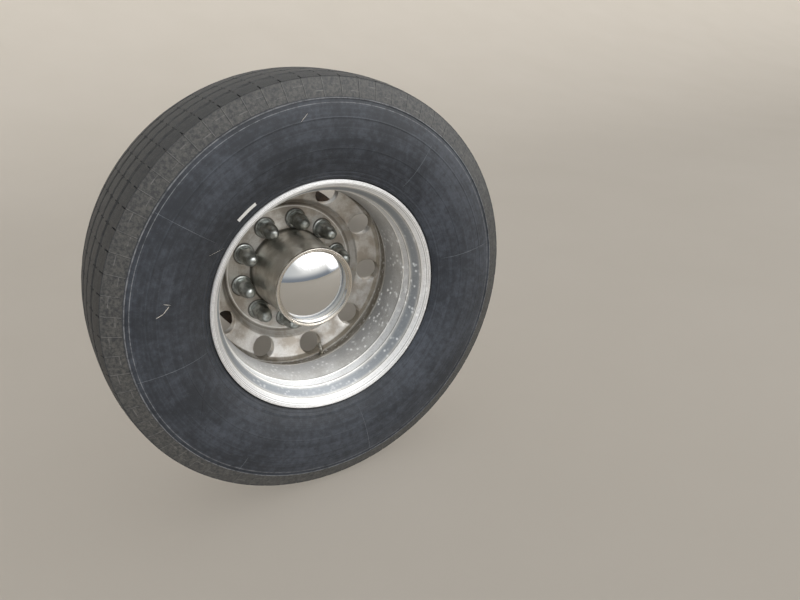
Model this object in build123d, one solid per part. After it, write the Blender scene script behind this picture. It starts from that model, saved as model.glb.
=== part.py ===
from build123d import *
import os
from math import asin, atan2, cos, degrees, radians, sin, sqrt, tan

# Motorhome wheel on its hub, brake drum and axle end. Millimetres, +Z up.
# The wheel turns about Y and its outboard side faces -Y.
# The origin is on the wheel's axis, at the inboard end of the axle tube.

# Axle tube and the places along Y
tube_radius = 63.5
tube_wall = 14.7
tube_seat_length = 200.0
brake_flange_radius = 92.0
brake_flange_thickness = 18.0
weld_size = 6.0
shield_thickness = 2.5
shield_to_drum = 6.0
drum_depth = 236.0
brake_flange_y = -tube_seat_length - brake_flange_thickness
face_y = brake_flange_y - shield_to_drum - drum_depth

# Wheel: rim sizes are those of a 22.5 x 8.25 rim with a 15 degree bead seat
wheel_offset = 167.5
rim_width = 209.55
flange_width = 13.0
flange_height = 12.75
flange_round = 3.5
bead_seat_radius = 285.75
bead_seat_length = 25.0
bead_seat_slope = 15.0
well_drop = 21.25
well_start = 100.0
well_end = 158.0
inner_lip_radius = 278.0
disc_thickness = 25.0
pad_radius = 181.0
pad_fillet = 5.0
pilot_radius = 110.05
valley_radius = 189.5
valley_depth = 258.8
ring_thickness = 23.0
ring_inner_radius = 200.5
ring_outer_radius = 264.3
step_wall = 14.0
hand_hole_count = 10
hand_hole_radius = 31.5
hand_hole_circle = 232.1
hand_hole_phase = 25.9
hand_hole_depth = 228.8
ring_lean = 0.36
cut_past = 1.0
flange_radius = bead_seat_radius + flange_height
centre_y = face_y - wheel_offset
outer_lip_y = centre_y - rim_width / 2 - flange_width
inner_lip_y = centre_y + rim_width / 2 + flange_width
pad_y = face_y - disc_thickness

# Inside of the rim, from its outboard lip to the ring:
# drop below the bead seat's radius, and depth from the lip
rim_inside = (
    (5.55, 16.0),
    (22.65, 51.5),
    (25.15, 81.0),
    (34.75, 160.0),
    (17.25, 217.5),
)

# Nut covers
stud_count = 10
stud_circle = 142.875
stud_phase = 7.9
cover_height = 73.0
cover_flange_radius = 27.0
cover_flange_height = 3.0
cover_neck_radius = 21.5
cover_hex_across_flats = 38.0
cover_hex_start = 7.0
cover_hex_end = 28.0
cover_nose_radius = 14.5

# Hub cover and its dome
skirt_to_covers = 2.875
skirt_tip_radius = 105.2
skirt_depth = 99.5
skirt_foot = 6.0
sheet_thickness = 1.6
dome_apex_depth = 70.0
dome_radius = 95.0
dome_edge_depth = 103.0
dome_seat_gap = 0.3
dome_plug_gap = 1.0
dome_plug_depth = 106.0
skirt_base_radius = stud_circle - cover_flange_radius - skirt_to_covers

# Raised lip round the dome: radius and depth of each corner, outwards
dome_lip = (
    (98.2, 96.0),
    (101.0, 92.4),
    (106.6, 92.0),
    (107.8, 94.6),
)

# Tyre
tread_radius = 534.0
tread_flat = 200.0
shoulder_radius = 523.8
shoulder_overhang = 3.5
sidewall_bulge = 34.0
bulge_radius = 405.0
tread_thickness = 27.0
bead_clearance = 0.2
lip_clearance = 0.8
lower_bands = 2
upper_bands = 4

# Brake drum and hub
drum_web_thickness = 16.0
drum_web_step = 12.0
drum_web_relief = 2.0
drum_shoulder_radius = 208.0
drum_shoulder_depth = 34.0
drum_radius = 228.0
drum_bore_radius = 209.55
drum_bore_round = 14.0
drum_band_radius = 236.0
drum_band_width = 44.0
drum_rib_radius = 233.0
drum_rib_width = 14.0
drum_rib_depth = 110.0
hub_flange_thickness = 18.0
hub_flange_radius = 170.0
hub_pilot_clearance = 0.15
hub_pilot_length = 60.0
hub_nose_radius = 82.0
hub_barrel_radius = 80.0
hub_fillet = 16.0
hub_length = 190.0
hub_relief_radius = 64.0
bearing_length = 45.0
running_clearance = 0.05
inner_journal_radius = 42.5
outer_journal_radius = 32.5
journal_step = 20.0
spindle_past_hub = 12.0

# Brake spider and dust shields
spider_thickness = 24.0
spider_ring_radius = 106.0
spider_fit_clearance = 0.15
cam_height = 150.0
cam_boss_radius = 32.0
anchor_circle = 162.0
anchor_spread = 42.0
anchor_boss_radius = 22.0
boss_past_shield = 14.0
shield_lip_clearance = 6.0
shield_lip_width = 18.0
shield_split = 3.0
shield_hole_clearance = 1.0

# Brake gear behind the shields
chamber_to_shield = 12.0
camshaft_radius = 19.0
camshaft_past_arm = 10.0
slack_arm_length = 152.4
slack_arm_width = 20.0
slack_hub_radius = 34.0
slack_hub_width = 38.0
slack_end_radius = 17.0
worm_radius = 15.0
worm_length = 68.0
worm_height = 40.0
clevis_pin_radius = 6.35
clevis_ear = 6.0
clevis_length = 44.0
clevis_height = 26.0
clevis_pin_past = 3.0
push_rod_radius = 8.0
chamber_face_x = 80.0
chamber_flange_radius = 95.0
chamber_flange_thickness = 8.0
chamber_socket_depth = 6.0
clamp_thickness = 5.0
clamp_lip = 6.0
clamp_lug = 30.0
bracket_thickness = 12.0
bracket_tube_radius = 28.0
bracket_foot_width = 68.0
bracket_pad_height = 90.0
bracket_pad_length = 150.0
gear_fit = 0.1

# Shells of the brake chamber: radius and distance from its mounting face
chamber_front = ((62.0, 0.0), (76.0, 9.0), (84.0, 50.0))
chamber_back = ((84.0, 66.0), (80.0, 98.0), (66.0, 112.0), (20.0, 116.0), (20.0, 126.0))

# Valve
valve_angle = -79.0
valve_depth = 191.0
valve_stem_radius = 4.2
valve_hole_clearance = 0.3
valve_seat_gap = 1.5
valve_nut_radius = 8.5
valve_nut_height = 7.0
valve_spot_margin = 2.0
valve_length = 24.0
valve_cap_radius = 5.6
valve_cap_length = 16.0

LOW = (Align.CENTER, Align.CENTER, Align.MIN)


def at_depth(depth):
    """Y of a place that lies a depth inboard of the rim's outboard lip."""
    return outer_lip_y + depth


def turned(points):
    """Solid turned about Y from a straight-sided profile of (radius, y) points."""
    return revolve(make_face(Polyline(*points, close=True)), Axis.Y, 360)


def turned_about_chamber(points):
    """Solid turned about the brake chamber's axis from (radius, x) points."""
    outline = [(x, radius) for radius, x in points]
    solid = revolve(make_face(Polyline(*outline, close=True)), Axis.X, 360)
    return Pos(0, gear_y, chamber_z) * solid


def rod(radius, start_y, end_y, x=0.0, z=0.0):
    """Round rod along Y."""
    middle = (start_y + end_y) / 2
    return Pos(x, middle, z) * Rot(90, 0, 0) * Cylinder(radius, abs(end_y - start_y))


def cross_rod(radius, start_x, end_x, y, z):
    """Round rod along X."""
    middle = (start_x + end_x) / 2
    return Pos(middle, y, z) * Rot(0, 90, 0) * Cylinder(radius, end_x - start_x)


def plate(outline, start_y, end_y):
    """Flat plate across Y from an outline of (x, z) points."""
    face = make_face(Polyline(*[(x, start_y, z) for x, z in outline], close=True))
    return extrude(face, end_y - start_y, dir=(0, 1, 0))


def on_circle(radius, angle):
    """X and Z of a place on a circle about the wheel's axis."""
    return radius * cos(radians(angle)), radius * sin(radians(angle))


def around(count, radius, phase):
    """Places of a ring of like pieces."""
    return [on_circle(radius, phase + 360 * i / count) for i in range(count)]


def save(node, shape):
    """Write one node under its name."""
    shape.label = node
    export_step(shape, f"parts/{node}.step")


gear_y = (
    brake_flange_y + shield_thickness + chamber_to_shield
    + chamber_flange_radius + clamp_thickness
)
chamber_z = cam_height + slack_arm_length
boss_back_y = brake_flange_y + boss_past_shield
channel_radius = bead_seat_radius - rim_inside[-1][0]


def rim_inside_radius(depth):
    """Radius of the rim's inside at a depth along its last slope."""
    (start_drop, start), (end_drop, end) = rim_inside[-2:]
    share = (depth - start) / (end - start)
    return bead_seat_radius - start_drop - (end_drop - start_drop) * share


def ring_y(radius):
    """Y of the conical ring's outboard face at a radius."""
    return at_depth(hand_hole_depth - ring_lean * (radius - hand_hole_circle))


def make_wheel():
    """Forged wheel: rim, ring with hand holes, and bolt pad in one piece."""
    seat_inner = bead_seat_radius - bead_seat_length * tan(radians(bead_seat_slope))
    well_radius = bead_seat_radius - well_drop
    outer_seat_y = outer_lip_y + flange_width
    inner_seat_y = inner_lip_y - flange_width
    tyre_side = [
        (flange_radius - flange_round, outer_lip_y),
        (flange_radius, outer_lip_y + flange_round),
        (flange_radius, outer_seat_y - flange_round),
        (flange_radius - flange_round, outer_seat_y),
        (bead_seat_radius, outer_seat_y),
        (seat_inner, outer_seat_y + bead_seat_length),
        (well_radius, at_depth(well_start)),
        (well_radius, at_depth(well_end)),
        (seat_inner, inner_seat_y - bead_seat_length),
        (bead_seat_radius, inner_seat_y),
        (flange_radius - flange_round, inner_seat_y),
        (flange_radius, inner_seat_y + flange_round),
        (flange_radius, inner_lip_y - flange_round),
        (flange_radius - flange_round, inner_lip_y),
    ]
    step_radius = ring_inner_radius + step_wall
    back = [
        (inner_lip_radius + pad_fillet, inner_lip_y),
        (inner_lip_radius, inner_lip_y + pad_fillet),
        (channel_radius, ring_y(channel_radius) + ring_thickness),
        (step_radius, ring_y(step_radius) + ring_thickness),
        (pad_radius + step_wall, face_y - pad_fillet),
        (pad_radius + step_wall - pad_fillet, face_y),
        (pilot_radius, face_y),
    ]
    front = [
        (pilot_radius, pad_y),
        (pad_radius, pad_y),
        (valley_radius, at_depth(valley_depth)),
        (ring_inner_radius, ring_y(ring_inner_radius)),
        (ring_outer_radius, ring_y(ring_outer_radius)),
    ]
    barrel = [(bead_seat_radius - drop, at_depth(y)) for drop, y in reversed(rim_inside)]
    lip = [(flange_radius - 2 * flange_round, outer_lip_y)]
    wheel = turned(tyre_side + back + front + barrel + lip)
    hole_start = ring_y(ring_outer_radius) - cut_past
    for x, z in around(hand_hole_count, hand_hole_circle, hand_hole_phase):
        wheel -= rod(hand_hole_radius, hole_start, face_y, x, z)
    return wheel


def sidewall_arc(end_radius, end_y, bands):
    """Points of the arc from the sidewall's widest place to one end, in bands."""
    reach = abs(end_radius - bulge_radius)
    widest_y = outer_lip_y - sidewall_bulge
    drop = end_y - widest_y
    arc_radius = (reach**2 + drop**2) / (2 * drop)
    side = 1 if end_radius > bulge_radius else -1
    points = []
    for i in range(1, bands + 1):
        turn = asin(reach / arc_radius) * i / bands
        radius = bulge_radius + side * arc_radius * sin(turn)
        points.append((radius, widest_y + arc_radius * (1 - cos(turn))))
    return points


def make_tyre():
    """Tyre in straight bands, with a plain air space, mirrored about its middle."""
    seat_slope = tan(radians(bead_seat_slope))
    heel_y = outer_lip_y + flange_width + bead_clearance
    toe_y = heel_y + bead_seat_length
    heel = (bead_seat_radius + bead_clearance, heel_y)
    toe = (heel[0] - bead_seat_length * seat_slope, toe_y)
    lip_radius = flange_radius + lip_clearance
    lower = sidewall_arc(lip_radius, heel_y, lower_bands)
    upper = sidewall_arc(shoulder_radius, outer_lip_y - shoulder_overhang, upper_bands)
    widest = (bulge_radius, outer_lip_y - sidewall_bulge)
    crown = (tread_radius, centre_y - tread_flat / 2)
    half = [toe, heel] + lower[::-1] + [widest] + upper + [crown]
    other_half = [(radius, 2 * centre_y - y) for radius, y in reversed(half)]
    inside_radius = tread_radius - tread_thickness
    inside = [(inside_radius, 2 * centre_y - toe_y), (inside_radius, toe_y)]
    return turned(half + other_half + inside)


def make_nut_cover(x, z):
    """Closed cover over a wheel nut: thin flange, hex collar and tapered round nose."""
    flange = Cylinder(cover_flange_radius, cover_flange_height, align=LOW)
    neck_height = cover_hex_start - cover_flange_height
    neck = Pos(0, 0, cover_flange_height) * Cone(
        cover_neck_radius, cover_hex_across_flats / 2, neck_height, align=LOW
    )
    hexagon = RegularPolygon(cover_hex_across_flats / 2, 6, major_radius=False)
    collar = Pos(0, 0, cover_hex_start) * extrude(hexagon, cover_hex_end - cover_hex_start)
    nose_centre = cover_height - cover_nose_radius
    taper = Pos(0, 0, cover_hex_end) * Cone(
        cover_hex_across_flats / 2, cover_nose_radius, nose_centre - cover_hex_end, align=LOW
    )
    nose = Pos(0, 0, nose_centre) * Sphere(cover_nose_radius, arc_size1=0, align=LOW)
    return Pos(x, pad_y, z) * Rot(90, 0, 0) * (flange + neck + collar + taper + nose)


def make_hub_cover():
    """Skirt of the hub cover, a tapered can open at both ends."""
    wall = [
        (skirt_base_radius, pad_y),
        (skirt_base_radius, pad_y - skirt_foot),
        (skirt_tip_radius, at_depth(skirt_depth)),
    ]
    inner = [(radius - sheet_thickness, y) for radius, y in reversed(wall)]
    return turned(wall + inner)


def make_dome_cap():
    """Domed cap in a raised lip, closing the skirt's outboard end."""
    seat_y = at_depth(skirt_depth) - dome_seat_gap
    plug_y = at_depth(dome_plug_depth)
    plug_radius = skirt_tip_radius - sheet_thickness - dome_plug_gap
    edge = (dome_radius, at_depth(dome_edge_depth))
    lip = [(radius, at_depth(depth)) for radius, depth in dome_lip]
    plug = [(lip[-1][0], seat_y), (plug_radius, seat_y), (plug_radius, plug_y), (0, plug_y)]
    apex = (0, at_depth(dome_apex_depth))
    edges = [TangentArc(apex, edge, tangent=(1, 0)), Polyline(edge, *lip, *plug, apex)]
    return revolve(make_face(Curve() + edges), Axis.Y, 360)


def make_drum():
    """Brake drum: web on the hub's flange, cylinder, rib and stiffening band."""
    back = face_y + drum_depth
    pilot_room = pilot_radius + hub_pilot_clearance
    rib_y = face_y + drum_rib_depth
    points = [
        (pilot_room, face_y),
        (hub_flange_radius, face_y),
        (drum_shoulder_radius, face_y + drum_web_step),
        (drum_radius, face_y + drum_shoulder_depth),
        (drum_radius, rib_y),
        (drum_rib_radius, rib_y),
        (drum_rib_radius, rib_y + drum_rib_width),
        (drum_radius, rib_y + drum_rib_width),
        (drum_radius, back - drum_band_width),
        (drum_band_radius, back - drum_band_width),
        (drum_band_radius, back),
        (drum_bore_radius, back),
        (drum_bore_radius, face_y + drum_shoulder_depth + drum_bore_round),
        (drum_bore_radius - drum_bore_round, face_y + drum_shoulder_depth),
        (hub_flange_radius + drum_web_relief, face_y + drum_web_thickness),
        (pilot_room, face_y + drum_web_thickness),
    ]
    return turned(points)


def make_hub():
    """Hub with flange and pilot, running on the spindle's two journals."""
    flange_front = face_y + drum_web_thickness
    flange_back = flange_front + hub_flange_thickness
    front = face_y - hub_pilot_length
    back = face_y + hub_length
    pilot = pilot_radius - hub_pilot_clearance
    outer_bore = outer_journal_radius + running_clearance
    inner_bore = inner_journal_radius + running_clearance
    points = [
        (outer_bore, front),
        (hub_nose_radius, front),
        (pilot, pad_y),
        (pilot, flange_front),
        (hub_flange_radius, flange_front),
        (hub_flange_radius, flange_back),
        (hub_barrel_radius + hub_fillet, flange_back),
        (hub_barrel_radius, flange_back + hub_fillet),
        (hub_barrel_radius, back),
        (inner_bore, back),
        (inner_bore, back - bearing_length),
        (hub_relief_radius, back - bearing_length),
        (hub_relief_radius, front + bearing_length),
        (outer_bore, front + bearing_length),
    ]
    return turned(points)


def make_spindle():
    """Axle end: tube, brake flange and the spindle that carries the hub."""
    shoulder = face_y + hub_length + weld_size
    tip = face_y - hub_pilot_length - spindle_past_hub
    flange_back = brake_flange_y + brake_flange_thickness - weld_size
    points = [
        (0, tip),
        (outer_journal_radius, tip),
        (outer_journal_radius, face_y + journal_step),
        (inner_journal_radius, face_y + journal_step),
        (inner_journal_radius, shoulder),
        (tube_radius, shoulder + 2 * weld_size),
        (tube_radius, brake_flange_y),
        (brake_flange_radius, brake_flange_y),
        (brake_flange_radius, flange_back),
        (tube_radius + weld_size, flange_back),
        (tube_radius, -tube_seat_length),
        (tube_radius, 0),
        (tube_radius - tube_wall, 0),
        (tube_radius - tube_wall, -tube_seat_length + tube_wall),
        (0, -tube_seat_length),
    ]
    return turned(points)


def boss_places():
    """Bosses of the brake spider: x, z and radius."""
    low = sqrt(anchor_circle**2 - anchor_spread**2)
    return [
        (0.0, cam_height, cam_boss_radius),
        (-anchor_spread, -low, anchor_boss_radius),
        (anchor_spread, -low, anchor_boss_radius),
    ]


def make_spider():
    """Brake spider: ring on the axle tube, with cam and anchor bosses."""
    front = brake_flange_y - spider_thickness
    spider = rod(spider_ring_radius, front, brake_flange_y)
    for x, z, radius in boss_places():
        spider += rod(radius, front, boss_back_y, x, z)
        web = Box(2 * radius, spider_thickness, sqrt(x**2 + z**2))
        middle_y = (front + brake_flange_y) / 2
        spider += Pos(x / 2, middle_y, z / 2) * Rot(0, degrees(atan2(x, z)), 0) * web
    return spider - rod(tube_radius + spider_fit_clearance, front - cut_past, boss_back_y)


def make_shields():
    """Two halves of the dust shield, with a lip around the drum's band."""
    back = brake_flange_y + shield_thickness
    lip_inner = drum_band_radius + shield_lip_clearance
    bore = brake_flange_radius + shield_hole_clearance
    points = [
        (bore, brake_flange_y),
        (lip_inner, brake_flange_y),
        (lip_inner, brake_flange_y - shield_lip_width),
        (lip_inner + shield_thickness, brake_flange_y - shield_lip_width),
        (lip_inner + shield_thickness, back),
        (bore, back),
    ]
    shield = turned(points)
    across = 2 * (lip_inner + shield_thickness + cut_past)
    shield -= Pos(0, brake_flange_y, 0) * Box(shield_split, across, across)
    for x, z, radius in boss_places():
        room = radius + shield_hole_clearance
        shield -= rod(room, brake_flange_y - cut_past, back + cut_past, x, z)
    return shield


def make_camshaft():
    """Outer end of the brake camshaft, from the spider's boss through the arm."""
    end_y = gear_y + slack_hub_width / 2 + camshaft_past_arm
    return rod(camshaft_radius, boss_back_y, end_y, 0, cam_height)


def make_bracket():
    """Bracket on the spider's cam boss: foot, cam tube, chamber pad and gusset."""
    foot_end = boss_back_y + bracket_thickness
    pad_start = chamber_face_x - bracket_thickness
    pad_top = chamber_z + bracket_pad_height / 2
    pad_bottom = chamber_z - bracket_pad_height / 2
    half_foot = bracket_foot_width / 2
    pad_end = gear_y + bracket_pad_length / 2
    foot_outline = [
        (-half_foot, cam_height - half_foot),
        (half_foot, cam_height - half_foot),
        (chamber_face_x, pad_bottom),
        (chamber_face_x, pad_top),
        (pad_start, pad_top),
        (-half_foot, cam_height + half_foot),
    ]
    bracket = plate(foot_outline, boss_back_y, foot_end)
    pad = Box(bracket_thickness, pad_end - boss_back_y, bracket_pad_height)
    pad_middle = (boss_back_y + pad_end) / 2
    bracket += Pos(pad_start + bracket_thickness / 2, pad_middle, chamber_z) * pad
    gusset = [(pad_start, foot_end), (pad_start, pad_end), (half_foot, foot_end)]
    gusset_face = make_face(Polyline(*[(x, y, pad_bottom) for x, y in gusset], close=True))
    bracket += extrude(gusset_face, bracket_thickness, dir=(0, 0, 1))
    tube_end = gear_y - slack_hub_width / 2 - shield_thickness
    bracket += rod(bracket_tube_radius, foot_end, tube_end, 0, cam_height)
    cam_room = camshaft_radius + gear_fit
    bracket -= rod(cam_room, boss_back_y - cut_past, tube_end + cut_past, 0, cam_height)
    rod_room = push_rod_radius + clevis_ear
    past = chamber_face_x + cut_past
    return bracket - cross_rod(rod_room, pad_start - cut_past, past, gear_y, chamber_z)


def make_slack_adjuster():
    """Brake arm on the camshaft: splined hub, worm housing and tapered arm."""
    half_hub = slack_hub_width / 2
    half_arm = slack_arm_width / 2
    arm_outline = [
        (-slack_hub_radius, cam_height),
        (slack_hub_radius, cam_height),
        (slack_end_radius, chamber_z),
        (-slack_end_radius, chamber_z),
    ]
    arm = plate(arm_outline, gear_y - half_arm, gear_y + half_arm)
    arm += rod(slack_hub_radius, gear_y - half_hub, gear_y + half_hub, 0, cam_height)
    arm += rod(slack_end_radius, gear_y - half_arm, gear_y + half_arm, 0, chamber_z)
    worm_z = cam_height + worm_height
    arm += cross_rod(worm_radius, -worm_length / 2, worm_length / 2, gear_y, worm_z)
    cut_start = gear_y - slack_hub_width
    cut_end = gear_y + slack_hub_width
    arm -= rod(camshaft_radius + running_clearance, cut_start, cut_end, 0, cam_height)
    pin_room = clevis_pin_radius + running_clearance
    return arm - rod(pin_room, cut_start, cut_end, 0, chamber_z)


def make_push_rod():
    """Chamber's push rod with its clevis and pin round the arm's end."""
    inner = slack_arm_width / 2 + gear_fit
    outer = inner + clevis_ear
    fork = Box(clevis_length, 2 * outer, clevis_height)
    slot = Box(clevis_length - clevis_ear, 2 * inner, 2 * clevis_height)
    start = -clevis_height / 2
    clevis = Pos(start + clevis_length / 2, 0, 0) * fork
    clevis -= Pos(start + (clevis_length - clevis_ear) / 2, 0, 0) * slot
    push = Pos(0, gear_y, chamber_z) * clevis
    pin_reach = outer + clevis_pin_past
    push += rod(clevis_pin_radius, gear_y - pin_reach, gear_y + pin_reach, 0, chamber_z)
    rod_end = chamber_face_x + chamber_socket_depth
    push += cross_rod(push_rod_radius, start + clevis_length, rod_end, gear_y, chamber_z)
    return push


def flange_start_x():
    """X where the brake chamber's two flanges begin."""
    middle = (chamber_front[-1][1] + chamber_back[0][1]) / 2
    return chamber_face_x + middle - chamber_flange_thickness / 2


def make_chamber():
    """Brake chamber: two dished shells with flanges, port and a socket for the rod."""
    start = flange_start_x()
    end = start + chamber_flange_thickness
    front = [(radius, chamber_face_x + x) for radius, x in chamber_front]
    back = [(radius, chamber_face_x + x) for radius, x in chamber_back]
    flanges = [
        (front[-1][0], start),
        (chamber_flange_radius, start),
        (chamber_flange_radius, end),
        (back[0][0], end),
    ]
    points = [(0, chamber_face_x)] + front[:-1] + flanges + back[1:] + [(0, back[-1][1])]
    socket = push_rod_radius + clevis_ear
    socket_end = chamber_face_x + chamber_socket_depth
    chamber = turned_about_chamber(points)
    socket_start = chamber_face_x - cut_past
    return chamber - cross_rod(socket, socket_start, socket_end, gear_y, chamber_z)


def make_clamp():
    """Clamp band round the chamber's flanges, with its two lugs."""
    start = flange_start_x()
    end = start + chamber_flange_thickness
    inside = chamber_flange_radius + gear_fit
    outside = chamber_flange_radius + clamp_thickness
    lip_radius = chamber_flange_radius - clamp_lip
    points = [
        (lip_radius, start - clamp_thickness),
        (outside, start - clamp_thickness),
        (outside, end + clamp_thickness),
        (lip_radius, end + clamp_thickness),
        (lip_radius, end),
        (inside, end),
        (inside, start),
        (lip_radius, start),
    ]
    clamp = turned_about_chamber(points)
    width = chamber_flange_thickness + 2 * clamp_thickness
    for side in (-1, 1):
        lug = Box(width, clamp_thickness, clamp_lug)
        lug_z = chamber_z + outside + clamp_lug / 2 - clamp_thickness
        clamp += Pos((start + end) / 2, gear_y + side * clamp_lug / 3, lug_z) * lug
    return clamp


def make_valve():
    """Valve stem with nut and cap, and the room it needs in the rim."""
    seat_radius = rim_inside_radius(valve_depth)
    x, z = on_circle(seat_radius, valve_angle)
    inward = on_circle(-1, valve_angle)
    seat = Plane(origin=(x, at_depth(valve_depth), z), z_dir=(inward[0], 0, inward[1]))
    through_length = bead_seat_radius - seat_radius
    stem = Pos(0, 0, -through_length) * Cylinder(
        valve_stem_radius, through_length + valve_length, align=LOW
    )
    hexagon = RegularPolygon(valve_nut_radius, 6)
    nut = Pos(0, 0, valve_seat_gap) * extrude(hexagon, valve_nut_height)
    cap = Pos(0, 0, valve_length) * Cylinder(valve_cap_radius, valve_cap_length, align=LOW)
    hole = Pos(0, 0, -through_length) * Cylinder(
        valve_stem_radius + valve_hole_clearance, 2 * through_length, align=LOW
    )
    spot_radius = valve_nut_radius + valve_spot_margin
    spot_face = Pos(0, 0, valve_seat_gap) * Cylinder(spot_radius, valve_length, align=LOW)
    return seat * (stem + nut + cap), seat * (hole + spot_face)


def main():
    """Build each node and write it."""
    os.makedirs("parts", exist_ok=True)
    valve, valve_room = make_valve()
    covers = [make_nut_cover(x, z) for x, z in around(stud_count, stud_circle, stud_phase)]
    save("forged_wheel", make_wheel() - valve_room)
    save("valve_stem", valve)
    save("tyre", make_tyre())
    save("nut_covers", Compound(covers))
    save("hub_cover", make_hub_cover())
    save("dome_cap", make_dome_cap())
    save("brake_drum", make_drum())
    save("hub", make_hub())
    save("axle_spindle", make_spindle())
    save("brake_spider", make_spider())
    save("dust_shields", make_shields())
    save("camshaft", make_camshaft())
    save("chamber_bracket", make_bracket())
    save("slack_adjuster", make_slack_adjuster())
    save("push_rod", make_push_rod())
    save("brake_chamber", make_chamber())
    save("chamber_clamp", make_clamp())


main()
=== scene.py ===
import bpy
import bmesh
import random
from functools import partial
from math import atan2, ceil, cos, degrees, pi, radians, sin, sqrt, tan
from mathutils import Matrix, Vector


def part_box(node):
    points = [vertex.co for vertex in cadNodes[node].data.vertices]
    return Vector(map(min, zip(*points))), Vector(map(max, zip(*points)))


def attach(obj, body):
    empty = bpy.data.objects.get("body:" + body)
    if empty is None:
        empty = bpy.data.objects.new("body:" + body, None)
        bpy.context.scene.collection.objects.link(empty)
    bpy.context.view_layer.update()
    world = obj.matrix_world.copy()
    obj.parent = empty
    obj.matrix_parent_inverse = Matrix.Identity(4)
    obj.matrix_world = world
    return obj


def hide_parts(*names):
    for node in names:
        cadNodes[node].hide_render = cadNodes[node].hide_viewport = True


# Wheel of a motorhome on its axle end. Metres, +Z up, wheel axis along Y.
# A place on the wheel is given by radius, angle from +X and depth inboard of the rim's lip.

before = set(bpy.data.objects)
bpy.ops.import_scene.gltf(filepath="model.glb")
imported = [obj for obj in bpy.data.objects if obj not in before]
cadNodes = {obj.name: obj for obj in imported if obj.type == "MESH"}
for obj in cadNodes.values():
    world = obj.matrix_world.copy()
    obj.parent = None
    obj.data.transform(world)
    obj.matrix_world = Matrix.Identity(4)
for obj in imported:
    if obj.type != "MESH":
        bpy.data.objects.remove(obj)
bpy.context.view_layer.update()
mm = 0.001
wheelBody = "wheel"
axleBody = "axle_end"
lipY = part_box("forged_wheel")[0][1]  # the rim's outboard lip
tyreLow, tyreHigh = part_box("tyre")
centreY = (tyreLow[1] + tyreHigh[1]) / 2
floorZ = tyreLow[2]
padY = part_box("nut_covers")[1][1]
print("frame loaded", len(cadNodes), "nodes")


# Mesh helpers

def depthY(depth):
    return lipY + depth * mm


def polar(radius, angle, y):
    # millimetres and degrees to a place in metres
    return Vector((radius * mm * cos(radians(angle)), y, radius * mm * sin(radians(angle))))


def rounded(corners, stepAngle=14):
    # corners are (radius, depth, fillet); each fillet becomes a short arc
    points = []
    last = len(corners) - 1
    for i, (radius, depth, fillet) in enumerate(corners):
        here = Vector((radius, depth))
        if fillet == 0 or i in (0, last):
            points.append((here.x, here.y))
            continue
        toBefore = Vector(corners[i - 1][:2]) - here
        toAfter = Vector(corners[i + 1][:2]) - here
        half = toBefore.angle(toAfter) / 2
        room = 0.48 * min(toBefore.length, toAfter.length)
        reach = min(fillet / tan(half), room)
        toBefore.normalize()
        toAfter.normalize()
        centre = here + (toBefore + toAfter).normalized() * (reach / cos(half))
        spoke = here + toBefore * reach - centre
        end = here + toAfter * reach - centre
        turn = pi - 2 * half
        if spoke.x * end.y - spoke.y * end.x < 0:
            turn = -turn
        steps = max(2, ceil(abs(degrees(turn)) / stepAngle))
        for k in range(steps + 1):
            swung = Matrix.Rotation(turn * k / steps, 2) @ spoke
            points.append((centre.x + swung.x, centre.y + swung.y))
    return points


def lathe(points, segments, phase=0.0, closed=True):
    # points are (radius, depth) in millimetres, turned about the wheel's axis
    vertices, rings, faces = [], [], []
    for radius, depth in points:
        y = depthY(depth)
        start = len(vertices)
        if radius < 1e-6:
            vertices.append((0.0, y, 0.0))
            rings.append([start] * segments)
            continue
        for j in range(segments):
            vertices.append(polar(radius, phase + 360 * j / segments, y))
        rings.append(list(range(start, start + segments)))
    pairs = list(zip(rings, rings[1:]))
    if closed:
        pairs.append((rings[-1], rings[0]))
    for first, second in pairs:
        for j in range(segments):
            k = (j + 1) % segments
            corners = [first[j], first[k], second[k], second[j]]
            face = list(dict.fromkeys(corners))
            if len(face) > 2:
                faces.append(face)
    return vertices, faces


def tubeFaces(rings, segments):
    # quads between closed rings of vertices that follow each other
    faces = []
    for i in range(rings - 1):
        for j in range(segments):
            k = (j + 1) % segments
            faces.append([i * segments + j, i * segments + k, (i + 1) * segments + k, (i + 1) * segments + j])
    return faces


def upright(radius, angle, height):
    # millimetres and degrees to a place in metres, on a part that is built up along +Z
    return radius * mm * cos(radians(angle)), radius * mm * sin(radians(angle)), height * mm


def joined(*parts):
    vertices, faces = [], []
    for partVertices, partFaces in parts:
        offset = len(vertices)
        vertices += list(partVertices)
        faces += [[i + offset for i in face] for face in partFaces]
    return vertices, faces


def moved(part, matrix):
    vertices, faces = part
    return [matrix @ Vector(v) for v in vertices], faces


def makePiece(name, part, material, body, sharpAngle=32):
    mesh = bpy.data.meshes.new(name)
    vertices, faces = part
    mesh.from_pydata([tuple(v) for v in vertices], [], faces)
    tidy = bmesh.new()
    tidy.from_mesh(mesh)
    bmesh.ops.remove_doubles(tidy, verts=tidy.verts, dist=2e-6)
    bmesh.ops.recalc_face_normals(tidy, faces=tidy.faces)
    tidy.to_mesh(mesh)
    tidy.free()
    mesh.shade_smooth()
    mesh.set_sharp_from_angle(angle=radians(sharpAngle))
    mesh.materials.append(material)
    piece = bpy.data.objects.new(name, mesh)
    bpy.context.scene.collection.objects.link(piece)
    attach(piece, body)
    return piece


# Shader helpers

# settings that many nodes share
plus = {"operation": "ADD"}
minus = {"operation": "SUBTRACT"}
times = {"operation": "MULTIPLY"}
divided = {"operation": "DIVIDE"}
power = {"operation": "POWER"}
fraction = {"operation": "FRACT"}
smooth = {"interpolation_type": "SMOOTHSTEP"}
colours = {"data_type": "RGBA"}


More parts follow.
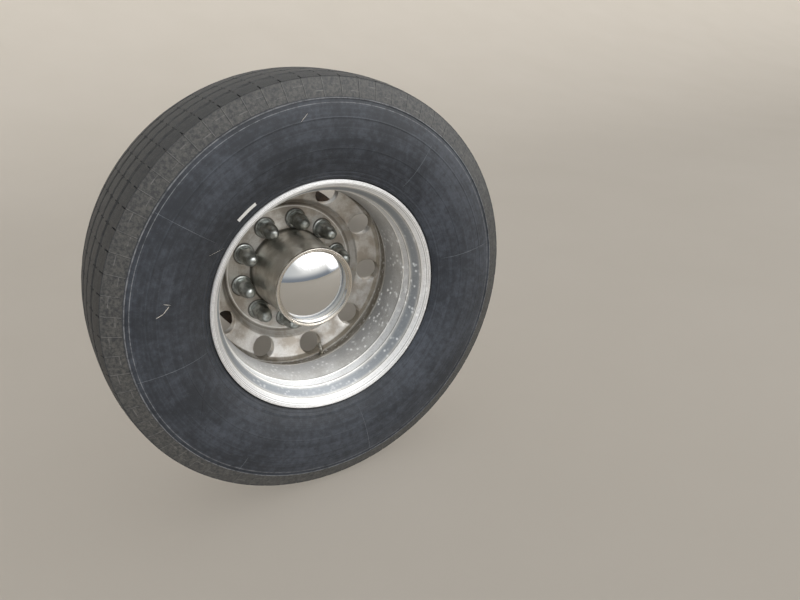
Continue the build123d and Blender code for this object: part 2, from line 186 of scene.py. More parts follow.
def linear(hexColour):
    channels = []
    for i in (0, 2, 4):
        value = int(hexColour.lstrip("#")[i:i + 2], 16) / 255
        channels.append(value / 12.92 if value <= 0.04045 else ((value + 0.055) / 1.055) ** 2.4)
    return (*channels, 1.0)


def connect(value, socket):
    # a node gives its first open output, and a hex colour is turned to linear
    if isinstance(value, bpy.types.Node):
        value = next(output for output in value.outputs if output.enabled)
    if isinstance(value, bpy.types.NodeSocket):
        socket.id_data.links.new(value, socket)
    else:
        socket.default_value = linear(value) if isinstance(value, str) else value


def addNode(tree, kind, *values, **settings):
    # values go to the open inputs in order; a setting names an input or a property
    made = tree.nodes.new("ShaderNode" + kind)
    for name, value in settings.items():
        if name in made.inputs:
            connect(value, made.inputs[name])
        else:
            setattr(made, name, value)
    openInputs = [socket for socket in made.inputs if socket.enabled]
    for value, socket in zip(values, openInputs):
        connect(value, socket)
    return made


def newMaterial(name, **fixed):
    # gives the material, a shorthand that adds nodes to it, and its shader
    material = bpy.data.materials.new(name)
    material.use_nodes = True
    surface = material.node_tree.nodes["Principled BSDF"]
    for socket, value in fixed.items():
        surface.inputs[socket].default_value = value
    return material, partial(addNode, material.node_tree), surface


def band(add, value, low, high, soft):
    # 1 from low to high, fading to 0 over the softness at each edge
    rise = add("MapRange", value, low - soft, low + soft, **smooth)
    fall = add("MapRange", value, high - soft, high + soft, 1.0, 0.0, **smooth)
    return add("Math", rise, fall, **times)


def distance(add, first, second):
    squares = add("Math", add("Math", first, 2.0, **power), add("Math", second, 2.0, **power), **plus)
    return add("Math", squares, operation="SQRT")


def layered(add, base, *layers):
    # each layer is its share of cover and its colour
    for share, cover in layers:
        base = add("Mix", share, base, cover, **colours)
    return base


def wheelPlace(add):
    # where a point is: object vector, radius and depth in metres, and a vector that has no angle
    vector = add("TexCoord").outputs["Object"]
    x, y, z = add("SeparateXYZ", vector).outputs
    radius = distance(add, x, z)
    depth = add("Math", y, lipY, **minus)
    turn = add("Math", z, x, operation="ARCTAN2")
    ring = add("CombineXYZ", radius, depth)
    return {"vector": vector, "radius": radius, "depth": depth, "ring": ring, "turn": turn, "x": x, "z": z}


# Materials. A pattern's scale is 1000 over the real width of its patches in millimetres

treadPitches = 72
coverSizes = {
    "count": 10, "circle": 142.875, "phase": 7.9, "segments": 72, "apothem": 19.0,
    "flangeTop": 7.5, "flatTop": 27.0, "flatFade": 0.6, "noseRadius": 16.6, "height": 73.0, "rowHeight": 2.2,
}

# zones of the sidewall by radius, and of one tread pitch by share: start, end, softness
rubberZones = {
    "upperRib": (0.4798, 0.4822, 0.0003), "lowerRib": (0.4708, 0.4722, 0.0003),
    "shoulder": (0.4830, 0.5225, 0.0008), "marks": (0.4845, 0.5215, 0.0005),
    "nearDashes": (0.4950, 0.4966, 0.0004), "farDashes": (0.5080, 0.5096, 0.0004),
    "crossLine": (0.006, 0.030, 0.006), "lineShade": (0.040, 0.058, 0.006),
    "nearSpan": (0.01, 0.26, 0.004), "farSpan": (0.51, 0.78, 0.004),
    "crevice": (0.3005, 0.3060), "treadStart": (0.5220, 0.5240),
}


def pitchShare(add, place, pitches):
    # how far through its pitch a point is, from 0 to 1
    return add("Math", add("Math", place["turn"], pitches / (2 * pi), **times), **fraction)


def shoulderMarks(add, place):
    # thin raised lines across the shoulder at each tread pitch, and short dashes along it
    zones, radius = rubberZones, place["radius"]
    pair = pitchShare(add, place, treadPitches / 2)
    near = add("Math", band(add, radius, *zones["nearDashes"]), band(add, pair, *zones["nearSpan"]), **times)
    far = add("Math", band(add, radius, *zones["farDashes"]), band(add, pair, *zones["farSpan"]), **times)
    lines = band(add, pitchShare(add, place, treadPitches), *zones["crossLine"])
    marks = add("Math", lines, add("Math", near, far, **plus), **plus, use_clamp=True)
    return add("Math", marks, band(add, radius, *zones["marks"]), **times)


def mouldedTyreRubber(name, clean, dusty, scuffed):
    # Carbon-filled rubber from a steel mould: dull blue-black, greyed by road dust in fine mottling,
    # with a dry grey-brown shoulder worn by the road that has painted shade beside its raised lines;
    # the tread is painted darker, a painted shade
    material, add, surface = newMaterial(name, Roughness=0.58)
    place = wheelPlace(add)
    zones, radius, vector = rubberZones, place["radius"], place["vector"]
    broad = add("TexNoise", vector, 1000 / 200, 3.0, 0.55)
    mottled = add("TexNoise", vector, 1000 / 16, 6.0, 0.70)
    rings = add("TexNoise", place["ring"], 1000 / 4.5, 3.0, 0.6)
    dust = add("Math", add("Math", broad, 0.38, **times), add("Math", mottled, 0.42, **times), **plus)
    dust = add("Math", dust, add("Math", rings, 0.22, **times), **plus)
    dust = add("MapRange", dust, 0.42, 0.66, **smooth)
    specks = add("TexNoise", vector, 1000 / 3, 4.0, 0.7)
    specks = add("MapRange", specks, 0.60, 0.74, 0.0, 0.5, **smooth)
    broken = add("MapRange", mottled, 0.35, 0.6, 0.15, 0.75, **smooth)
    ribs = add("Math", band(add, radius, *zones["upperRib"]), band(add, radius, *zones["lowerRib"]), **plus)
    ribs = add("Math", ribs, broken, **times)
    dry = add("MapRange", add("TexNoise", vector, 1000 / 7, 6.0, 0.75), 0.34, 0.66, **smooth)
    marks = add("Math", shoulderMarks(add, place), broken, **times)
    # painted shade: a dark line beside each raised line across the shoulder
    lineShade = band(add, pitchShare(add, place, treadPitches), *zones["lineShade"])
    lineShade = add("Math", lineShade, 0.75, **times)
    shoulderWearAndShade = layered(add, "#27282A", (dry, "#4A4946"), (marks, "#636260"), (lineShade, "#17181A"))
    crevice = add("MapRange", radius, *zones["crevice"], 0.85, 0.0, **smooth)  # the rim shades the bead
    # painted shade: the tread is painted darker than the rest of the tyre
    tread = add("MapRange", radius, *zones["treadStart"], **smooth)
    colour = layered(
        add, clean, (dust, dusty), (specks, scuffed), (ribs, "#77787A"),
        (band(add, radius, *zones["shoulder"]), shoulderWearAndShade), (crevice, "#08090A"),
        (tread, layered(add, "#1C1D1F", (dry, "#313130"))),
    )
    connect(colour, surface.inputs["Base Color"])
    grain = add("TexNoise", vector, 1000 / 1.4, 3.0, 0.7)
    grain = add("Math", grain, add("Math", mottled, 0.6, **times), **plus)
    connect(add("Bump", Height=grain, Distance=0.45 * mm), surface.inputs["Normal"])
    return material


# zones of the wheel's finish in metres: start, end and softness, or the two ends of a fade
aluminiumZones = {
    # by depth from the lip
    "brim": (0.0120, 0.0240), "slope": (0.024, 0.0485, 0.0055), "shelf": (0.0560, 0.082, 0.0050),
    "barrel": (0.084, 0.160, 0.0012), "barrelFade": (0.090, 0.150), "bowlEnd": (0.2155, 0.2165),
    "grooveStart": (0.158, 0.176), "valleyStart": (0.240, 0.244), "discStart": (0.2155, 0.2180),
    "lipFace": (0.014, 0.016),
    # corners that catch the light, by depth, then the painted highlight line at one and the painted shade
    # line under it
    "corners": (0.0154, 0.0512, 0.0806), "cornerLine": (0.0, 0.0026, 0.0003),
    "cornerShadeLine": (0.0034, 0.0052, 0.0005),
    # by radius
    "groove": (0.2540, 0.2672, 0.0022), "valley": (0.1822, 0.1975, 0.0020),
    "padEdgeHighlight": (0.1765, 0.1795, 0.0005), "coverShadowRing": (0.0275, 0.0315),
    # painted shade lines on the pad, one in the valley and one round the hub cover's foot: start, end,
    # softness and strength
    "padShadeLines": ((0.1815, 0.1880, 0.0008, 0.55), (0.1128, 0.1175, 0.0008, 0.8)),
    "lipLines": (
        (0.2866, 0.2874, 0.0004), (0.2899, 0.2909, 0.0004), (0.2934, 0.2942, 0.0004),
        (0.2962, 0.2970, 0.0004),
    ),
}


def coverDistance(add, place):
    # how far a point of the bolt pad is from the nearest nut cover's middle
    turns = add("Math", place["turn"], coverSizes["count"] / (2 * pi), **times)
    share = add("Math", turns, 0.5 - coverSizes["phase"] / (360 / coverSizes["count"]), **plus)
    share = add("Math", add("Math", share, **fraction), 0.5, **minus)
    pitch = 2 * pi / coverSizes["count"] * coverSizes["circle"] * mm
    outwards = add("Math", place["radius"], coverSizes["circle"] * mm, **minus)
    return distance(add, add("Math", share, pitch, **times), outwards)


def waterSpots(add, place, cloud, inBowl):
    # white rings of dried minerals on the lower part of the bowl
    spots = add("TexVoronoi", place["vector"], 1000 / 12.5)
    chosen = add("Math", add("SeparateColor", spots.outputs["Color"]), 0.25, operation="GREATER_THAN")
    dot = add("MapRange", spots.outputs["Distance"], 0.10, 0.44, 1.0, 0.0, **smooth)
    low = add("Math", add("Math", place["x"], 0.6, **times), place["z"], **minus)
    shares = (
        chosen, add("MapRange", cloud, 0.36, 0.56, 0.2, 1.0, **smooth),
        add("MapRange", low, -0.10, 0.12, **smooth), inBowl, 0.55,
    )
    for share in shares:
        dot = add("Math", dot, share, **times)
    return dot


def forgedAluminium(name):
    # Forged alloy, turned and polished, weathered in use: near white on the shelf and brim as painted
    # highlight, darker and bluer on the slope as painted reflection, greyer deeper in the barrel as painted
    # shade, with fine tool marks, a brown film where water lies and white spots of dried minerals
    material, add, surface = newMaterial(name, **{"Anisotropic": 0.7, "Anisotropic Rotation": 0.25})
    place = wheelPlace(add)
    zones, depth, radius = aluminiumZones, place["depth"], place["radius"]
    connect(add("Tangent", direction_type="RADIAL", axis="Y"), surface.inputs["Tangent"])
    turning = add("TexNoise", place["ring"], 1000 / 1.6, 2.0, 0.6)  # tool marks, drawn coarser than real
    cloud = add("TexNoise", place["vector"], 1000 / 50, 5.0, 0.6)
    fine = add("TexNoise", place["vector"], 1000 / 4, 4.0, 0.65)
    inBowl = add("MapRange", depth, *zones["bowlEnd"], 1.0, 0.0, **smooth)
    slope = add("Math", band(add, depth, *zones["slope"]), inBowl, **times)
    barrel = add("Math", band(add, depth, *zones["barrel"]), inBowl, **times)
    shelf = add("Math", band(add, depth, *zones["shelf"]), inBowl, **times)
    brim = add("MapRange", depth, *zones["brim"], 1.0, 0.0, **smooth)
    barrelShade = add("MapRange", depth, *zones["barrelFade"], 0.35, 1.0, **smooth)
    # painted light by zone: highlight on the shelf and brim, reflection on the slope, shade deeper in the
    # barrel
    layers = [
        (add("MapRange", cloud, 0.35, 0.7, **smooth), "#F3F3F1"),
        (add("Math", slope, 0.85, **times), "#9FA6AE"),
        (add("Math", barrel, barrelShade, **times), "#BFBFBF"),
        (shelf, "#FBFCFD"),
        (brim, "#FAFAFA"),
        (add("MapRange", fine, 0.42, 0.70, 0.0, 0.18, **smooth), "#8E8A84"),
        (add("MapRange", turning, 0.50, 0.72, 0.0, 0.22, **smooth), "#8A8782"),
    ]
    groove = add("MapRange", depth, *zones["grooveStart"], **smooth)
    groove = add("Math", band(add, radius, *zones["groove"]), groove, **times)
    valley = add("MapRange", depth, *zones["valleyStart"], 0.0, 0.55, **smooth)
    valley = add("Math", band(add, radius, *zones["valley"]), valley, **times)
    film = add("MapRange", cloud, 0.2, 0.6, 0.65, 1.0, **smooth)
    film = add("Math", add("Math", groove, valley, **plus), film, **times, use_clamp=True)
    disc = add("MapRange", depth, *zones["discStart"], **smooth)
    stain = add("MapRange", cloud, 0.38, 0.62, 0.05, 0.75, **smooth)
    layers += [(add("Math", disc, stain, **times), "#AC9F8F"), (film, "#736C60")]
    marks = {"cornerLine": 0.0, "cornerShadeLine": 0.0}
    for corner in zones["corners"]:
        for mark, soFar in marks.items():
            begin, finish, soft = zones[mark]
            line = band(add, depth, corner + begin, corner + finish, soft)
            marks[mark] = add("Math", line, soFar, **plus, use_clamp=True)
    cornerHighlight, cornerShade = marks.values()
    # painted shade: a darker line under each corner's highlight, in the bowl
    cornerShade = add("Math", cornerShade, add("Math", inBowl, 0.6, **times), **times)
    layers.append((cornerShade, "#6E6A62"))
    # painted shade: a dark line in the valley and a shadow round the hub cover's foot
    for start, end, soft, strength in zones["padShadeLines"]:
        line = add("Math", band(add, radius, start, end, soft), disc, **times)
        layers.append((add("Math", line, strength, **times), "#4B443A"))
    lipFace = add("MapRange", depth, *zones["lipFace"], 0.6, 0.0, **smooth)
    for line in zones["lipLines"]:
        layers.append((add("Math", band(add, radius, *line), lipFace, **times), "#827E77"))
    # painted shadow: a dark ring on the pad round the foot of each nut cover
    coverShadow = add("MapRange", coverDistance(add, place), *zones["coverShadowRing"], 0.8, 0.0, **smooth)
    layers.append((add("Math", coverShadow, disc, **times), "#3A352E"))
    # painted highlights: bright lines along the corners and round the pad's edge
    cornerHighlight = add("Math", add("Math", cornerHighlight, inBowl, **times),
                add("MapRange", cloud, 0.3, 0.6, 0.35, 0.9, **smooth), **times)
    padEdgeHighlight = add("Math", band(add, radius, *zones["padEdgeHighlight"]), disc, **times)
    dot = waterSpots(add, place, cloud, inBowl)
    layers += [(add("Math", cornerHighlight, padEdgeHighlight, **plus, use_clamp=True), "#FBFAF7"), (dot, "#F6F6F5")]
    connect(layered(add, "#E2E0DC", *layers), surface.inputs["Base Color"])
    rough = add("MapRange", cloud, 0.3, 0.7, 0.36, 0.44, **smooth)
    for part, amount in ((turning, 0.12), (slope, 0.06), (barrel, 0.08), (fine, 0.08)):
        rough = add("Math", rough, add("Math", part, amount, **times), **plus)
    for first, second, amount in ((film, dot, 0.22), (shelf, brim, 0.16)):
        part = add("Math", add("Math", first, second, **plus), amount, **times)
        rough = add("Math", rough, part, **plus, use_clamp=True)
    connect(rough, surface.inputs["Roughness"])
    covered = add("Math", add("Math", dot, 0.8, **times), add("Math", film, 0.45, **times), **plus)
    bare = add("Math", 0.92, covered, **minus, use_clamp=True)
    bare = add("Math", bare, add("Math", brim, 0.2, **times), **minus, use_clamp=True)
    connect(bare, surface.inputs["Metallic"])
    height = add("Math", turning, add("Math", fine, 0.35, **times), **plus)
    connect(add("Bump", Height=height, Distance=0.16 * mm), surface.inputs["Normal"])
    return material


def dentReach(add, place, dent):
    # 0 at the middle of an oval dent and 1 at its edge
    middleX, middleZ, halfLength, halfHeight, tilt = dent
    x = add("Math", place["x"], middleX, **minus)
    z = add("Math", place["z"], middleZ, **minus)
    along = add("Math", add("Math", x, cos(tilt), **times), add("Math", z, sin(tilt), **times), **plus)
    aside = add("Math", add("Math", z, cos(tilt), **times), add("Math", x, sin(tilt), **times), **minus)
    along = add("Math", along, halfLength, **divided)
    return distance(add, along, add("Math", aside, halfHeight, **divided))


def chromePlate(name, bright, tarnish, roughness, tarnished, smear, wave, **marks):
    # Nickel and chrome over pressed steel: mirror-like, with a grey-brown tarnish in patches.
    # smear: width of a patch, and wave: height of the ripples, both in millimetres.
    # lip: radius past which it is worn dull. foot: depth past which it is painted darker, a painted shade
    # where it meets the pad.
    # dent: x, z, half length, half height and tilt of a shallow oval dent. These are in metres.
    bumpHeight = 0.3
    material, add, surface = newMaterial(name, Metallic=1.0)
    place = wheelPlace(add)
    patches = add("TexNoise", place["vector"], 1000 / smear, 4.0, 0.6)
    layers = [(add("MapRange", patches, 0.62 - tarnished, 0.86 - tarnished, **smooth), tarnish)]
    rough = add("MapRange", patches, 0.3, 0.75, roughness, roughness * 2.0, **smooth)
    ripple = add("TexNoise", place["vector"], 1000 / (smear * 0.6), 2.0, 0.55)
    height = add("Math", ripple, wave / bumpHeight, **times)
    if "lip" in marks:
        worn = add("MapRange", place["radius"], marks["lip"], marks["lip"] + 0.001, **smooth)
        layers.append((worn, "#E3DED6"))
        rough = add("Math", rough, add("Math", worn, 0.12, **times), **plus)
    if "foot" in marks:
        # painted shade: darker towards the foot, where the skirt meets the pad
        footShade = add("MapRange", place["depth"], marks["foot"], marks["foot"] + 0.02, 0.0, 0.8, **smooth)
        layers.append((footShade, "#5B5850"))
    if "dent" in marks:
        reach = dentReach(add, place, marks["dent"])
        height = add("Math", height, add("MapRange", reach, 0.72, 1.0, 0.0, 1.6, **smooth), **plus)
        rubbed = add("MapRange", patches, 0.3, 0.6, 0.0, 0.25, **smooth)
        rubbed = add("Math", band(add, reach, 0.88, 0.98, 0.08), rubbed, **times)
        rough = add("Math", rough, rubbed, **plus)
    connect(layered(add, bright, *layers), surface.inputs["Base Color"])
    connect(rough, surface.inputs["Roughness"])
    connect(add("Bump", Height=height, Distance=bumpHeight * mm), surface.inputs["Normal"])
    return material


def castIron(name, scale, rust, deep):
    # Bare cast iron left outdoors: brown and orange rust over dark scale, rough as the sand mould
    material, add, surface = newMaterial(name, Roughness=0.82)
    vector = add("TexCoord").outputs["Object"]
    patches = add("MapRange", add("TexNoise", vector, 1000 / 35, 6.0, 0.65), 0.38, 0.62, **smooth)
    pits = add("MapRange", add("TexNoise", vector, 1000 / 8, 3.0, 0.55), 0.5, 0.75, **smooth)
    connect(layered(add, scale, (patches, rust), (pits, deep)), surface.inputs["Base Color"])
    sand = add("TexNoise", vector, 1000 / 2.5, 4.0, 0.7)
    connect(add("Bump", Height=sand, Distance=0.6 * mm), surface.inputs["Normal"])
    return material


def chassisPaint(name, paint, dust, chipped, roughness=0.45, grain=0.0):
    # Satin chassis enamel, sprayed: near black, dulled by dry dust, rust where it has chipped
    material, add, surface = newMaterial(name, Roughness=roughness)
    vector = add("TexCoord").outputs["Object"]
    patches = add("TexNoise", vector, 1000 / 60, 5.0, 0.6)
    patches = add("MapRange", patches, 0.42, 0.72, 0.0, 0.8, **smooth)
    chips = add("MapRange", add("TexNoise", vector, 1000 / 12, 5.0, 0.7), 0.66, 0.70, **smooth)
    connect(layered(add, paint, (patches, dust), (chips, chipped)), surface.inputs["Base Color"])
    texture = add("TexNoise", vector, 1000 / 3, 4.0, 0.65)
    connect(add("Bump", Height=texture, Distance=(0.1 + grain) * mm), surface.inputs["Normal"])
    return material


def platedSteel(name, bright, dull, roughness=0.38):
    # Plated or bare metal gone dull: a pale chalky bloom, or a brown film
    material, add, surface = newMaterial(name, Metallic=1.0)
    vector = add("TexCoord").outputs["Object"]
    patches = add("TexNoise", vector, 1000 / 10, 4.0, 0.6)
    connect(layered(add, bright, (patches, dull)), surface.inputs["Base Color"])
    rough = add("MapRange", patches, 0.3, 0.7, roughness, roughness + 0.2, **smooth)
    connect(rough, surface.inputs["Roughness"])
    bloom = add("TexNoise", vector, 1000 / 2, 3.0, 0.55)
    connect(add("Bump", Height=bloom, Distance=0.1 * mm), surface.inputs["Normal"])
    return material


def mattMark(name, first, second, roughness):
    # A scuff, scratch or paper laid on the rubber: one dull tone, broken by the rubber's grain
    material, add, surface = newMaterial(name, Roughness=roughness)
    tone = add("TexNoise", add("TexCoord").outputs["Object"], 1000 / 3, 3.0, 0.55)
    connect(layered(add, first, (tone, second)), surface.inputs["Base Color"])
    return material


rubber = mouldedTyreRubber("mouldedRubber", "#1F2227", "#3B3F46", "#5A5A57")
rubberEdge = mouldedTyreRubber("scuffedRubber", "#4A4D52", "#686B6E", "#6C6A66")
aluminium = forgedAluminium("forgedAluminium")
coverChrome = chromePlate("tarnishedChrome", "#BDC1BE", "#949793", 0.28, 0.22, 20, 0.03)
skirtSteel = chromePlate("dulledStainless", "#EAE7DF", "#CFCAC0", 0.31, 0.25, 50, 0.06, foot=0.238)
domeChrome = chromePlate(
    "mirrorChrome", "#DEDEDD", "#CFCFCD", 0.02, 0.05, 60, 0.03,
    lip=0.0982, dent=(0.0176, -0.033, 0.024, 0.015, 0.45),
)
nickel = platedSteel("nickelledBrass", "#DEDCD6", "#B5B0A4", 0.2)
zinc = platedSteel("dullZinc", "#A9A8A4", "#7F7D78")
bareSteel = platedSteel("brownedSteel", "#7A7067", "#5C4E43", 0.4)
drumIron = castIron("rustedDrumIron", "#352E29", "#54402F", "#2A2522")
hubIron = castIron("darkHubIron", "#38332F", "#54443A", "#2A2725")
axlePaint = chassisPaint("axleEnamel", "#1B1B1C", "#5B5750", "#6A4630")
spiderPaint = chassisPaint("castingEnamel", "#202021", "#5E5A53", "#70492F", 0.55, 0.3)
shieldPaint = chassisPaint("shieldEnamel", "#242425", "#625E57", "#6A4630", 0.5)
chamberPaint = chassisPaint("chamberEnamel", "#19191A", "#4C4A46", "#6A4630", 0.38)
scuffBlack = mattMark("blackScuff", "#0F1012", "#1B1C1E", 0.8)
scratchPale = mattMark("paleScratch", "#D9D4C8", "#A7A297", 0.7)
labelWhite = mattMark("paperLabel", "#EDEDEA", "#C9C8C4", 0.6)
print("materials made")


# Tyre: sidewalls from two arcs, moulded rings, grooved tread with short slits

tyreSizes = {
    "lipRadius": 299.3, "heelRadius": 285.95, "heelDepth": 13.2, "toeRadius": 279.3, "toeDepth": 38.2,
    "airRadius": 507.0,
    "bulgeRadius": 405.0, "bulge": 33.2, "lowerEndDepth": 6.5,
    "shoulderRadius": 523.8, "shoulderDepth": -3.5, "crownRadius": 533.7,
    "grooveOffsets": (-74.0, -26.0, 26.0, 74.0), "grooveWidth": 11.0, "grooveDepth": 11.0,
    # lines of the tread, by distance from a groove's wall and from the tread's edge
    "grooveLines": ((8.6, "rib"), (8.0, "slit"), (0.8, "slit"), (0.0, "wall"), (-1.8, "floor")),
    "edgeLines": ((3.0, "slit"), (15.0, "slit"), (15.6, "rib")), "wallRound": 0.8, "zigzagReach": 15.0,
    "zigzag": 3.0, "pitches": treadPitches, "slitWidth": 3.0, "slitDepth": 6.0,
    "lineHeight": 0.55, "step": 6.0, "shoulderDrop": 1.2,
}

# moulded rings on each sidewall: radius, width, height
sidewallRings = (
    (302.6, 1.6, 1.0),
    (308.0, 2.2, 1.4),
    (316.5, 1.2, 0.5),
    (376.0, 1.2, 0.45),
    (441.0, 1.2, 0.45),
    (481.0, 2.4, 2.2),
)
shoulderRing = sidewallRings[-1][0]


def arcDepth(radius):
    t = tyreSizes
    if radius < t["bulgeRadius"]:
        reach, drop = t["bulgeRadius"] - t["lipRadius"], t["bulge"] + t["lowerEndDepth"]
    else:
        reach, drop = t["shoulderRadius"] - t["bulgeRadius"], t["bulge"] + t["shoulderDepth"]
    arcRadius = (reach**2 + drop**2) / (2 * drop)
    away = radius - t["bulgeRadius"]
    return arcRadius - sqrt(arcRadius**2 - away**2) - t["bulge"]


def sidewallDepth(radius):
    depth = arcDepth(radius)
    for ringRadius, width, height in sidewallRings:
        if abs(radius - ringRadius) <= width / 2:
            depth -= height
    if radius > shoulderRing + 1.3:
        depth += tyreSizes["shoulderDrop"]  # the shoulder stands lower than the wall inside its ring
    return depth


def sidewallPoints():
    # radius, depth, line height, slit depth, zigzag share
    t = tyreSizes
    radii = [t["lipRadius"] + 0.2]
    while radii[-1] + t["step"] < t["shoulderRadius"] - 2:
        radii.append(radii[-1] + t["step"])
    for ringRadius, width, height in sidewallRings:
        radii = [r for r in radii if abs(r - ringRadius) > width]
        foot, top = width / 2 + 0.7, width * 0.4
        radii += [ringRadius - foot, ringRadius - top, ringRadius + top, ringRadius + foot]
    radii = sorted(radii + [shoulderRing + 2.6, t["shoulderRadius"] - 1.0])
    ringEdge = shoulderRing + 2.5
    return [(r, sidewallDepth(r), t["lineHeight"] if r > ringEdge else 0.0, 0.0, 0.0) for r in radii]


def centreOffset():
    return (centreY - lipY) / mm


def crownHeight(offset):
    t = tyreSizes
    half = centreOffset() - t["shoulderDepth"]
    return t["crownRadius"] - (t["crownRadius"] - t["shoulderRadius"]) * abs(offset / half) ** 3


def treadPoints():
    # the same five values for each line of the tread, from the outboard shoulder to the inboard one
    t = tyreSizes
    middle = centreOffset()
    edge = middle - t["shoulderDepth"]
    marks = []
    for side in (-1, 1):
        marks += [(side * (edge - inset), kind) for inset, kind in t["edgeLines"]]
        for offset in t["grooveOffsets"]:
            wall = t["grooveWidth"] / 2
            marks += [(offset + side * (wall + away), kind) for away, kind in t["grooveLines"]]
    drops = {"floor": t["grooveDepth"], "wall": t["wallRound"]}
    points = []
    for offset, kind in sorted(marks):
        radius = crownHeight(offset) - drops.get(kind, 0.0)
        slit = t["slitDepth"] if kind == "slit" else 0.0
        nearGroove = min(abs(offset - g) for g in t["grooveOffsets"]) < t["zigzagReach"]
        points.append((radius, middle + offset, 0.0, slit, 1.0 if nearGroove else 0.0))
    ends = [(t["shoulderRadius"] + 0.4, middle + side * (edge - 0.6), 0.0, t["slitDepth"] * 0.4, 0.0)
            for side in (-1, 1)]
    return [ends[0], *points, ends[1]]


def tyreColumns():
    # angle, whether the column is in a slit, and its share of the grooves' zigzag
    t = tyreSizes
    slit = degrees(t["slitWidth"] / t["crownRadius"])
    edge = slit * 0.16
    span = 360 / t["pitches"]
    columns = []
    for i in range(t["pitches"]):
        start = span * i
        steps = (
            (0.0, 0, 0.0), (edge, 1, 0.0), (slit - edge, 1, 0.0), (slit, 0, 0.0),
            (slit + (span - slit) / 3, 0, 0.5), (slit + (span - slit) * 2 / 3, 0, 1.0),
        )
        columns += [(start + turn, inSlit, swing) for turn, inSlit, swing in steps]
    return columns


def makeTyre():
    t = tyreSizes
    outer = sidewallPoints()
    tread = treadPoints()
    middle = centreOffset()
    inner = [(r, 2 * middle - d, line, slit, zig) for r, d, line, slit, zig in reversed(outer)]
    bead = (
        (t["airRadius"], t["toeDepth"]), (t["toeRadius"], t["toeDepth"]),
        (t["heelRadius"], t["heelDepth"]), (t["lipRadius"], t["heelDepth"]),
    )
    start = [(r, d, 0.0, 0.0, 0.0) for r, d in bead]
    finish = [(r, 2 * middle - d, 0.0, 0.0, 0.0) for r, d in reversed(bead)]
    profile = start + outer + tread + inner + finish
    columns = tyreColumns()
    vertices, faces = [], []
    count = len(profile)
    for angle, inSlit, swing in columns:
        for radius, depth, line, slit, zig in profile:
            side = -1 if depth < middle else 1
            radius -= slit * inSlit
            depth += side * line * inSlit
            depth += zig * t["zigzag"] * (swing - 0.5)
            vertices.append(polar(radius, angle, depthY(depth)))
    total = len(columns)
    for j in range(total):
        a, b = j * count, ((j + 1) % total) * count
        for i in range(count):
            k = (i + 1) % count
            faces.append([a + i, a + k, b + k, b + i])
    return vertices, faces


tyre = makePiece("tyreCarcass", makeTyre(), rubber, wheelBody, 38)
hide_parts("tyre")
print("tyre made", len(tyre.data.polygons), "faces")


# Marks on the sidewall that the eye catches: mould seams, scuffs and a blank white label

# mould seams: angle, start radius, end radius
mouldSeams = (
    (142.8, 335.0, 479.0),
    (9.0, 325.0, 475.0),
    (-171.5, 319.0, 479.0),
    (52.8, 329.0, 447.0),
    (-127.0, 435.0, 477.0),
    (-80.0, 330.0, 478.0),
)

# scuffs and scratches: start radius and angle, end radius and angle, width
darkScuffs = (
    (402.0, -152.3, 376.0, -157.0, 1.6),
    (376.0, -157.0, 352.0, -161.0, 1.2),
    (428.0, -146.0, 414.0, -147.6, 1.4),
)
paleScratches = (
    (421.0, 170.3, 407.0, 169.0, 1.6),
    (407.0, 169.0, 396.0, 166.6, 1.8),
    (393.0, 166.2, 408.0, 166.0, 1.2),
    (338.0, 148.0, 310.0, 143.5, 0.9),
    (455.0, 96.0, 441.0, 98.5, 1.0),
)


def sidewallStrip(startRadius, startAngle, endRadius, endAngle, width, height, steps=10):
    # a low ridge on the outboard sidewall between two places
    vertices, faces = [], []
    start = polar(startRadius, startAngle, 0.0)
    end = polar(endRadius, endAngle, 0.0)
    across = Vector((-(end - start).z, 0.0, (end - start).x)).normalized() * width * mm / 2
    for i in range(steps + 1):
        middle = start.lerp(end, i / steps)
        share = 0.25 + 0.75 * sin(pi * i / steps) ** 0.5
        for side in (-1, -0.4, 0.4, 1):
            place = middle + across * side * share
            radius = place.length / mm
            lift = height if abs(side) < 1 else -0.3
            y = depthY(sidewallDepth(radius) - lift)
            vertices.append((place.x, y, place.z))
    for i in range(steps):
        for k in range(3):
            a = i * 4 + k
            faces.append([a, a + 1, a + 5, a + 4])
    return vertices, faces


seams = [sidewallStrip(r0, angle, r1, angle, 1.5, 0.5, 24) for angle, r0, r1 in mouldSeams]
seamPiece = makePiece("mouldSeams", joined(*seams), rubberEdge, wheelBody)
scuffs = [sidewallStrip(r0, a0, r1, a1, width, 0.12) for r0, a0, r1, a1, width in darkScuffs]
scratches = [sidewallStrip(r0, a0, r1, a1, width, 0.25) for r0, a0, r1, a1, width in paleScratches]
makePiece("scuffMarks", joined(*scuffs), scuffBlack, wheelBody)
makePiece("scratchMarks", joined(*scratches), scratchPale, wheelBody)


labelSizes = {
    "inside": 318.6, "outside": 327.2, "startAngle": 122.3, "endAngle": 131.6, "thickness": 0.35,
}


def makeLabel():
    # blank paper label, bent over the sidewall
    s = labelSizes
    vertices, faces, across, along = [], [], 3, 10
    for i in range(along + 1):
        angle = s["startAngle"] + (s["endAngle"] - s["startAngle"]) * i / along
        for k in range(across + 1):
            radius = s["inside"] + (s["outside"] - s["inside"]) * k / across
            for lift in (0.0, s["thickness"]):
                vertices.append(polar(radius, angle, depthY(arcDepth(radius) - 0.2 - lift)))
    width = (across + 1) * 2
    for i in range(along):
        for k in range(across):
            a = i * width + k * 2
            faces.append([a + 1, a + 3, a + width + 3, a + width + 1])
            faces.append([a, a + width, a + width + 2, a + 2])
        a, b = i * width, i * width + across * 2
        faces += [[a, a + 1, a + width + 1, a + width], [b, b + width, b + width + 1, b + 1]]
    for k in range(across):
        a, b = k * 2, along * width + k * 2
        faces += [[a, a + 2, a + 3, a + 1], [b, b + 1, b + 3, b + 2]]
    return vertices, faces


makePiece("blankSticker", makeLabel(), labelWhite, wheelBody)
print("sidewall marks made")


